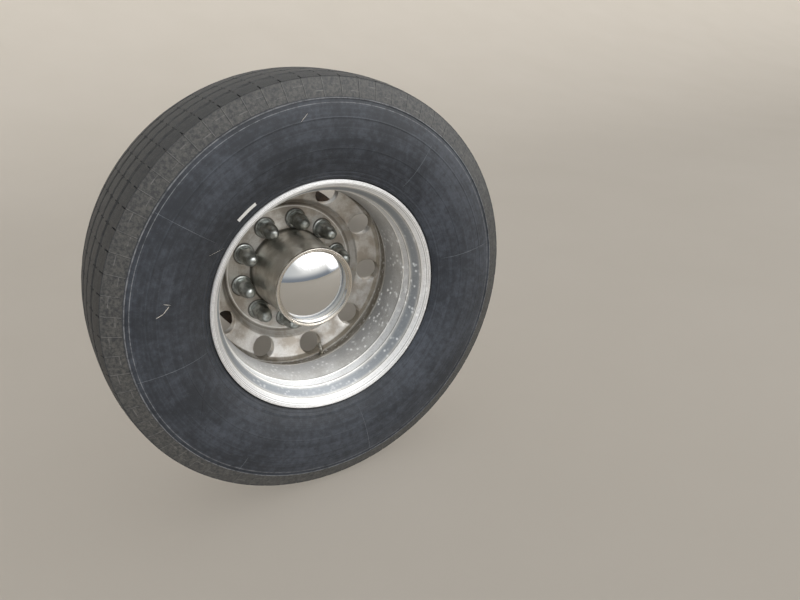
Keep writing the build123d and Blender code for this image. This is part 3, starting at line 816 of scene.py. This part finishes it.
# Forged wheel: turned profile with fillets, and ten round hand holes in its ring

wheelSizes = {
    "segments": 360, "phase": 7.9, "holes": 10, "holePhase": 25.9,
    "holeRadius": 31.5, "holeCircle": 232.1, "holeChamfer": 1.1,
    "middleDepth": 228.8, "lean": 0.36, "thickness": 23.0,
    "ringInner": 197.5, "innerCorner": 201.4, "outerCorner": 263.2, "ringOuter": 265.6,
    "innerRound": 0.9, "outerRound": 0.45, "backStep": 214.5, "backStepDepth": 258.1, "backSlope": 1.138,
}


def frontDepth(radius):
    # outboard side of the ring: a shallow cone, rounded off to the wall and to the channel
    w = wheelSizes
    cone = w["middleDepth"] - w["lean"] * (radius - w["holeCircle"])
    inside = w["innerCorner"] - radius
    outside = radius - w["outerCorner"]
    if inside > 0:
        cone += w["innerRound"] * inside**1.25
    if outside > 0:
        cone += w["outerRound"] * outside**2
    return cone


def backDepth(radius):
    # inboard side: a step thickness behind the cone, then the slope to the bolt pad
    w = wheelSizes
    if radius < w["backStep"]:
        return w["backStepDepth"] + (w["backStep"] - radius) * w["backSlope"]
    return w["middleDepth"] - w["lean"] * (radius - w["holeCircle"]) + w["thickness"]


# outboard side from the ring's outer edge to the lip, tyre side, and back to the ring:
# radius, depth, fillet
rimOutline = (
    (wheelSizes["ringOuter"], frontDepth(wheelSizes["ringOuter"]), 0),
    (268.0, 218.6, 1.6),
    (266.4, 210.5, 5),
    (251.3, 160.5, 3.0),
    (250.6, 158.6, 0.9),
    (260.0, 83.0, 0.6),
    (262.3, 80.6, 0.5),
    (263.0, 53.8, 0.6),
    (265.0, 51.2, 0.5),
    (279.2, 18.6, 0.6),
    (281.6, 15.4, 0.6),
    (288.6, 2.0, 3),
    (291.8, 0.0, 2.6),
    (298.5, 0.0, 3.0),
    (298.5, 13.0, 3.0),
    (285.75, 13.0, 2.0),
    (279.05, 38.0, 2.0),
    (264.5, 100.0, 8),
    (264.5, 158.0, 8),
    (279.05, 197.55, 6),
    (285.75, 222.55, 2),
    (298.5, 222.55, 3),
    (298.5, 235.55, 3),
    (280.0, 235.55, 3),
    (268.5, 238.7, 4),
    (wheelSizes["ringOuter"], backDepth(wheelSizes["ringOuter"]), 0),
)
padOutline = (
    (wheelSizes["ringInner"], backDepth(wheelSizes["ringInner"]), 0),
    (195.0, 280.3, 4),
    (190.0, 285.275, 3),
    (110.05, 285.275, 1),
    (110.05, 260.275, 1.2),
    (176.0, 260.275, 0.8),
    (177.4, 259.5, 0.6),
    (180.4, 259.9, 0.8),
    (182.0, 260.275, 1.5),
    (188.4, 259.2, 4),
    (wheelSizes["ringInner"], frontDepth(wheelSizes["ringInner"]), 0),
)


def alongRay(start, direction, radius):
    # how far from start, along a unit direction, the wheel's radius reaches the one given
    along = start.dot(direction)
    room = along**2 - start.length_squared + (radius * mm) ** 2
    return sqrt(max(room, 0.0)) - along


def holedSector(index):
    # one tenth of the ring: front face, bevelled hole and back face
    w = wheelSizes
    span = 360 / w["holes"]
    middle = w["holePhase"] + span * index
    first, last = middle - span / 2, middle + span / 2
    centre = polar(w["holeCircle"], middle, 0.0)
    inner, outer = w["ringInner"], w["ringOuter"]
    low, high = w["innerCorner"], w["outerCorner"]
    side = [low + (high - low) * k / 9 for k in range(10)]
    boundary = [(outer, first + k) for k in range(round(span))]
    boundary += [(radius, last) for radius in (outer, *reversed(side))]
    boundary += [(inner, last - k) for k in range(round(span))]
    boundary += [(radius, first) for radius in (inner, *side)]
    count = len(boundary)
    bevel = w["holeChamfer"]
    hole = w["holeRadius"] * mm
    wide = hole + bevel * mm
    vertices, faces = [], []
    for radius, angle in boundary:
        edge = polar(radius, angle, 0.0)
        away = (edge - centre).length
        direction = (edge - centre) / away
        corner = away
        if radius > high:
            corner = min(away, max(alongRay(centre, direction, high), wide + 0.2 * mm))
        if radius < low:
            near = -centre.dot(direction)
            turn = near**2 - centre.length_squared + (low * mm) ** 2
            corner = near - sqrt(turn) if turn > 0 else away
            corner = min(away, max(corner, wide + 0.2 * mm))
        middleWay = wide + (corner - wide) * 0.4
        front = [away, corner, middleWay, wide, hole + bevel * 0.4 * mm, hole]
        dips = [0.0, 0.0, 0.0, 0.0, bevel * 0.35, bevel]
        for reach, dip in zip(front, dips):
            place = centre + direction * reach
            vertices.append((place.x, depthY(frontDepth(place.length / mm) + dip), place.z))
        for reach, dip in ((hole, -bevel), (wide, 0.0), (wide + (away - wide) * 0.3, 0.0),
                           (wide + (away - wide) * 0.65, 0.0), (away, 0.0)):
            place = centre + direction * reach
            vertices.append((place.x, depthY(backDepth(place.length / mm) + dip), place.z))
    steps = len(vertices) // count
    for k in range(count):
        a, b = k * steps, (k + 1) % count * steps
        for i in range(steps - 1):
            faces.append([a + i, a + i + 1, b + i + 1, b + i])
    return vertices, faces


w = wheelSizes
rimPart = lathe(rounded(rimOutline), w["segments"], w["phase"], False)
padPart = lathe(rounded(padOutline), w["segments"], w["phase"], False)
sectors = [holedSector(i) for i in range(w["holes"])]
wheel = makePiece("forgedWheelDisc", joined(rimPart, padPart, *sectors), aluminium, wheelBody, 34)
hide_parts("forged_wheel")
print("wheel made", len(wheel.data.polygons), "faces")


# Nut covers: thin flange, hexagon that fades into a tapered round nose

# outside of a cover without its flats: height, radius, fillet
coverOutline = (
    (0.0, 27.0, 0),
    (2.6, 27.0, 1.1),
    (4.0, 23.4, 0.8),
    (coverSizes["flangeTop"], 22.4, 1.2),
    (coverSizes["flatTop"], 22.1, 8),
    (44.0, 20.6, 24),
    (58.0, 17.0, 14),
)


def coverRounds():
    points = rounded([(radius, height, fillet) for height, radius, fillet in coverOutline], 10)
    c = coverSizes
    centre = c["height"] - c["noseRadius"]
    points = [(radius, height) for radius, height in points if height < centre - 1.0]
    for k in range(9):
        turn = radians(6 + 84 * k / 8)
        points.append((c["noseRadius"] * cos(turn), centre + c["noseRadius"] * sin(turn)))
    return points


def makeCover(turn):
    c = coverSizes
    vertices = []
    profile = coverRounds()
    dense = []
    for (r0, h0), (r1, h1) in zip(profile, profile[1:]):
        steps = max(1, ceil((h1 - h0) / c["rowHeight"]))
        dense += [(r0 + (r1 - r0) * k / steps, h0 + (h1 - h0) * k / steps) for k in range(steps)]
    dense.append(profile[-1])
    n = c["segments"]
    for radius, height in dense:
        for j in range(n):
            angle = 360 * j / n
            flat = c["apothem"] / cos(radians((angle - turn + 30) % 60 - 30))
            flat += c["flatFade"] * max(0.0, height - c["flatTop"])
            reach = radius if height < c["flangeTop"] else min(radius, flat)
            vertices.append(upright(reach, angle, height))
    top = (len(dense) - 1) * n
    return vertices, tubeFaces(len(dense), n) + [list(range(n)), list(range(top, top + n))]


def outboardAt(x, z, y):
    # places a part that is built up along +Z so that it points to the outboard side
    return Matrix.Translation((x, y, z)) @ Matrix.Rotation(radians(90), 4, "X")


covers = []
turns = random.Random(11)
for i in range(coverSizes["count"]):
    seat = polar(coverSizes["circle"], coverSizes["phase"] + 360 / coverSizes["count"] * i, padY)
    covers.append(moved(makeCover(turns.uniform(0, 60)), outboardAt(seat.x, seat.z, padY)))
nutCovers = makePiece("bulletNutCovers", joined(*covers), coverChrome, wheelBody, 24)
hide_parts("nut_covers")
print("nut covers made")


# Hub cover: tapered skirt with a rolled foot, and the mirror dome in its raised lip

# outside of the skirt from the lip to its foot: radius, depth, fillet
skirtOutline = (
    (103.6, 99.5, 0),
    (105.2, 99.5, 0.6),
    (107.4, 140.0, 60),
    (113.0, 252.0, 4),
    (113.6, 257.2, 1),
    (115.6, 258.6, 0.6),
    (115.6, 260.275, 0.4),
    (111.8, 260.275, 0),
)
domeSizes = {"radius": 98.0, "edgeDepth": 99.6, "apexDepth": 70.0, "plugDepth": 106.0, "rings": 40}
# raised lip round the dome, outwards, then the plug inside the skirt: radius, depth, fillet
lipOutline = (
    (domeSizes["radius"], domeSizes["edgeDepth"], 0),
    (98.4, 99.4, 0.2),
    (100.2, 93.6, 1.2),
    (101.2, 93.0, 0.5),
    (101.6, 94.2, 0.3),
    (102.2, 94.2, 0.3),
    (102.8, 92.2, 1.0),
    (106.2, 91.9, 1.8),
    (107.8, 94.6, 1.6),
    (107.8, 99.2, 0.6),
    (102.6, 99.2, 0.3),
    (102.6, domeSizes["plugDepth"], 0),
)


def makeDome():
    d = domeSizes
    rise = d["edgeDepth"] - d["apexDepth"]
    sphere = (d["radius"]**2 + rise**2) / (2 * rise)
    reach = atan2(d["radius"], sphere - rise)
    points = []
    for k in range(d["rings"] + 1):
        turn = reach * k / d["rings"]
        points.append((sphere * sin(turn), d["apexDepth"] + sphere * (1 - cos(turn))))
    return points + rounded(lipOutline, 10)[1:] + [(0.0, d["plugDepth"])]


skirt = makePiece("hubCoverSkirt", lathe(rounded(skirtOutline), 180), skirtSteel, wheelBody)
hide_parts("hub_cover")
dome = makePiece("domedCap", lathe(makeDome(), 240), domeChrome, wheelBody, 40)
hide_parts("dome_cap")
print("hub cover made")


# Valve: hexagon nut, threaded stem and ribbed cap, pointing to the wheel's middle

valveSizes = {"angle": -79.0, "depth": 191.0, "seatRadius": 260.43}

# outside of the valve: height from the rim, radius
valveOutline = (
    (-24.0, 0.0), (-24.0, 4.2), (0.0, 4.2), (0.0, 9.6), (1.5, 9.6), (1.5, 5.4), (8.5, 5.4), (8.6, 4.6),
    (10.0, 4.6), (24.0, 4.2), (24.2, 5.6), (34.0, 5.6), (35.0, 4.4), (39.6, 4.2), (40.0, 0.0),
)


def turnedStem(outline, segments=28, ribHeight=0.0, ribFrom=0.0, ribTo=0.0):
    # outline is (height, radius); the ribs are a knurl on every second segment
    vertices = []
    for height, radius in outline:
        for j in range(segments):
            ribbed = j % 2 and ribFrom <= height <= ribTo and radius > 5
            reach = radius + ribHeight if ribbed else radius
            vertices.append(upright(reach, 360 * j / segments, height))
    return vertices, tubeFaces(len(outline), segments)


def hexPrism(radius, low, high, chamfer=0.8):
    # six flats with their corners turned off at both ends
    half, inner = chamfer * 0.5, radius - chamfer
    levels = ((low, inner), (low + half, radius), (high - half, radius), (high, inner))
    vertices, faces = turnedStem(levels, 6)
    return vertices, faces + [list(range(6)), list(range(18, 24))]


def threads(radius, low, high, pitch=1.2):
    count = int((high - low) / pitch)
    outline = []
    for i in range(count):
        outline += [(low + i * pitch, radius - 0.3), (low + (i + 0.5) * pitch, radius + 0.2)]
    return turnedStem(outline, 20)


v = valveSizes
valveSeat = polar(v["seatRadius"], v["angle"], depthY(v["depth"]))
inward = -Vector((valveSeat.x, 0.0, valveSeat.z)).normalized()
valveTurn = Vector((0, 0, 1)).rotation_difference(inward).to_matrix().to_4x4()
knurled = turnedStem(valveOutline, ribHeight=0.35, ribFrom=24.1, ribTo=34.1)
valvePart = joined(knurled, hexPrism(8.5, 1.5, 8.5), threads(4.3, 10.0, 23.6))
valve = makePiece("valveStem", moved(valvePart, Matrix.Translation(valveSeat) @ valveTurn), nickel, wheelBody)
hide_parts("valve_stem")
print("valve made")


# Small fasteners on the brake side. The nodes they sit on give their places

chamberLow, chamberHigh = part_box("brake_chamber")
bracketLow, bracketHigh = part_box("chamber_bracket")
clampLow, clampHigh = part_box("chamber_clamp")
camLow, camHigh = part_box("camshaft")
chamberY = (chamberLow[1] + chamberHigh[1]) / 2
chamberZ = (chamberLow[2] + chamberHigh[2]) / 2
clampX = (clampLow[0] + clampHigh[0]) / 2
camZ = (camLow[2] + camHigh[2]) / 2

# hexagon radius and head height, and how far each bolt stands from its middle or edge.
# washer, shank and shankEnd are shares of the hexagon's radius
boltSizes = {
    "washer": 1.25, "washerHeight": 1.8, "shank": 0.55, "shankEnd": 0.4,
    "flange": (7.6, 8.5), "flangeCount": 8, "flangeCircle": 79.0, "flangeBackY": -206.0,
    "chamber": (10.5, 13.0), "chamberSide": 60.0, "chamberEdge": 12.0,
    "cam": (6.6, 7.5), "camSide": 24.0, "camEdge": 12.0,
    "clamp": (7.4, 7.4), "clampShank": 4.0, "clampEnds": (-22.0, 24.0), "clampHeads": (-20.0, 12.6),
    "clampEdge": 12.0,
}


def boltAt(place, direction, radius, height):
    # washer, hexagon head and the end of the shank
    b = boltSizes
    turn = Vector((0, 0, 1)).rotation_difference(Vector(direction)).to_matrix().to_4x4()
    base, wide, end, shank = b["washerHeight"], radius * b["washer"], height + 4, radius * b["shank"]
    tip = (end + 0.6, radius * b["shankEnd"])
    washer = turnedStem(((0.0, 0.0), (0.0, wide), (base, wide), (base, 0.0)), 28)
    shankEnd = turnedStem(((height, 0.0), (height, shank), (end, shank), tip, (tip[0], 0.0)), 20)
    part = joined(washer, hexPrism(radius, base, height), shankEnd)
    return moved(part, Matrix.Translation(place) @ turn)


b = boltSizes
bolts = []
for i in range(b["flangeCount"]):
    spot = polar(b["flangeCircle"], 22.5 + 45 * i, b["flangeBackY"] * mm)
    bolts.append(boltAt(spot, (0, 1, 0), *b["flange"]))
for side in (-1, 1):
    spot = Vector((bracketHigh[0] - b["chamberEdge"] * mm, chamberY + side * b["chamberSide"] * mm, chamberZ))
    bolts.append(boltAt(spot, (-1, 0, 0), *b["chamber"]))
camSide, camY = b["camSide"] * mm, bracketLow[1] + b["camEdge"] * mm
for x, z in ((-camSide, camSide), (camSide, camSide), (-camSide, -camSide), (camSide, -camSide)):
    bolts.append(boltAt(Vector((x, camY, camZ + z)), (0, 1, 0), *b["cam"]))
boltPiece = makePiece("brakeSideBolts", joined(*bolts), zinc, axleBody)

start, end = b["clampEnds"]
hexagon, headHeight = b["clamp"]
clampBolt = turnedStem(((start, 0.0), (start, b["clampShank"]), (end, b["clampShank"]), (end, 0.0)), 20)
clampHeads = [hexPrism(hexagon, low, low + headHeight) for low in b["clampHeads"]]
turnToY = Matrix.Rotation(radians(-90), 4, "X")
clampPlace = Matrix.Translation((clampX, chamberY, clampHigh[2] - b["clampEdge"] * mm)) @ turnToY
clampPart = moved(joined(clampBolt, *clampHeads), clampPlace)
makePiece("clampBolt", clampPart, zinc, axleBody)
print("fasteners made")


# Finishes of the nodes that stay as they are

nodeFinishes = {
    "brake_drum": drumIron,
    "hub": hubIron,
    "axle_spindle": axlePaint,
    "brake_spider": spiderPaint,
    "dust_shields": shieldPaint,
    "camshaft": bareSteel,
    "chamber_bracket": spiderPaint,
    "slack_adjuster": spiderPaint,
    "push_rod": zinc,
    "brake_chamber": chamberPaint,
    "chamber_clamp": zinc,
}
for name, material in nodeFinishes.items():
    for materialSlot in cadNodes[name].material_slots:
        materialSlot.material = material
print("node finishes set")


# Floor, light and camera

stageSizes = {"front": 30.0, "halfWidth": 60.0, "wallStart": 2.0, "curve": 12.0, "lift": 66, "steps": 24}


def paintedFloor():
    # Matt studio floor paint, a pale warm grey
    material, add, surface = newMaterial("studioFloor", Roughness=0.9)
    tone = add("TexNoise", add("TexCoord").outputs["Object"], 1000 / 800, 3.0, 0.55)
    connect(layered(add, "#C9C1B5", (tone, "#CFC7BC")), surface.inputs["Base Color"])
    return material


def makeStage():
    s = stageSizes
    points = [(-s["front"], 0.0), (s["wallStart"], 0.0)]
    for k in range(1, s["steps"] + 1):
        turn = radians(s["lift"] * k / s["steps"])
        points.append((s["wallStart"] + s["curve"] * sin(turn), s["curve"] * (1 - cos(turn))))
    mesh = bpy.data.meshes.new("studioSweep")
    vertices = [(x, y, floorZ + z) for y, z in points for x in (-s["halfWidth"], s["halfWidth"])]
    faces = [[2 * i, 2 * i + 1, 2 * i + 3, 2 * i + 2] for i in range(len(points) - 1)]
    mesh.from_pydata(vertices, [], faces)
    mesh.shade_smooth()
    mesh.materials.append(paintedFloor())
    stage = bpy.data.objects.new("studioSweep", mesh)
    bpy.context.scene.collection.objects.link(stage)


def placed(name, data, place, target, seenIn):
    holder = bpy.data.objects.new(name, data)
    holder.location = place
    holder.rotation_euler = (Vector(target) - Vector(place)).to_track_quat("-Z", "Y").to_euler()
    holder.visible_diffuse = seenIn == "diffuse"
    holder.visible_glossy = seenIn == "glossy"
    bpy.context.scene.collection.objects.link(holder)


# the key lights paint, rubber and floor; the panels are the bright sky that metal shows
lightSizes = {
    "target": (0.0, -0.6, -0.1),
    "keyPlace": (-3.0, -6.3, 2.4), "keyStrength": 3.8, "keySpread": 10.0,
    # name, place, width and height, level
    "panels": (
        ("skyPanel", (3.6, -5.2, 5.6), (20.0, 11.0), 5.9),
        ("lowPanel", (9.5, -5.2, 2.3), (9.0, 5.5), 9.0),
    ),
    "panelFade": (0.28, 0.72, 0.28),
    # how strongly the sky lights the paint and floor
    "skyBehind": 0.26, "skyInFront": 0.20,
}


def softPanel(name, size, level):
    # a large soft panel, faded towards its edges, with faint upright streaks
    panel = bpy.data.lights.new(name, "AREA")
    panel.shape = "RECTANGLE"
    panel.size, panel.size_y = size
    panel.energy = level * pi * panel.size * panel.size_y
    panel.use_nodes = True
    add = partial(addNode, panel.node_tree)
    across, up = add("SeparateXYZ", add("TexCoord").outputs["UV"]).outputs[:2]
    fade = lightSizes["panelFade"]
    fade = add("Math", band(add, across, *fade), band(add, up, *fade), **times)
    tall = add("CombineXYZ", across, add("Math", up, 0.12, **times))
    streaks = add("TexNoise", tall, 1000 / 22, 3.0, 0.6)
    streaks = add("MapRange", streaks, 0.42, 0.62, 0.62, 1.08, **smooth)
    connect(add("Math", fade, streaks, **times), panel.node_tree.nodes["Emission"].inputs["Strength"])
    return panel


def makeLights():
    s = lightSizes
    key = bpy.data.lights.new("softKey", "SUN")
    key.energy = s["keyStrength"]
    key.angle = radians(s["keySpread"])
    placed("softKey", key, s["keyPlace"], s["target"], "diffuse")
    for name, place, size, level in s["panels"]:
        placed(name, softPanel(name, size, level), place, s["target"], "glossy")


def makeWorld():
    # white sky with a cooler, darker band at the horizon, as a mirror would show it
    world = bpy.data.worlds.new("softSky")
    bpy.context.scene.world = world
    world.use_nodes = True
    add = partial(addNode, world.node_tree)
    background = world.node_tree.nodes["Background"]
    x, y, height = add("SeparateXYZ", add("TexCoord").outputs["Generated"]).outputs
    sky = add("Mix", add("MapRange", x, -0.9, 0.4, **smooth), "#C3C7CA", "#F8F8F6", **colours)
    sky = add("Mix", add("MapRange", height, 0.03, 0.22, **smooth), "#868D96", sky, **colours)
    connect(sky, background.inputs["Color"])
    rays = add("LightPath").outputs
    seen = add("Math", rays["Is Camera Ray"], rays["Is Glossy Ray"], **plus)
    seen = add("Math", seen, rays["Is Transmission Ray"], **plus, use_clamp=True)
    soft = add("MapRange", y, -0.7, 0.3, lightSizes["skyInFront"], lightSizes["skyBehind"], **smooth)
    connect(add("Math", seen, soft, operation="MAXIMUM"), background.inputs["Strength"])


cameraSizes = {
    "place": (-0.59806, -2.011245, 0.62553),
    "right": (0.8461, -0.533, -0.001),
    "ahead": (0.4859, 0.7721, -0.4096),
    "focalPixels": 616.8, "imageWidth": 800.0, "sensor": 36.0,
}


def makeCamera():
    c = cameraSizes
    data = bpy.data.cameras.new("photoCamera")
    data.sensor_width = c["sensor"]
    data.lens = c["focalPixels"] / c["imageWidth"] * c["sensor"]
    camera = bpy.data.objects.new("photoCamera", data)
    right = Vector(c["right"]).normalized()
    ahead = Vector(c["ahead"])
    ahead = (ahead - right * ahead.dot(right)).normalized()
    up = right.cross(ahead)
    turn = Matrix((right, up, -ahead)).transposed().to_4x4()
    camera.matrix_world = Matrix.Translation(c["place"]) @ turn
    bpy.context.scene.collection.objects.link(camera)
    bpy.context.scene.camera = camera


makeStage()
makeLights()
makeWorld()
makeCamera()
bpy.context.scene.view_settings.view_transform = "Standard"
print("stage, light and camera made")
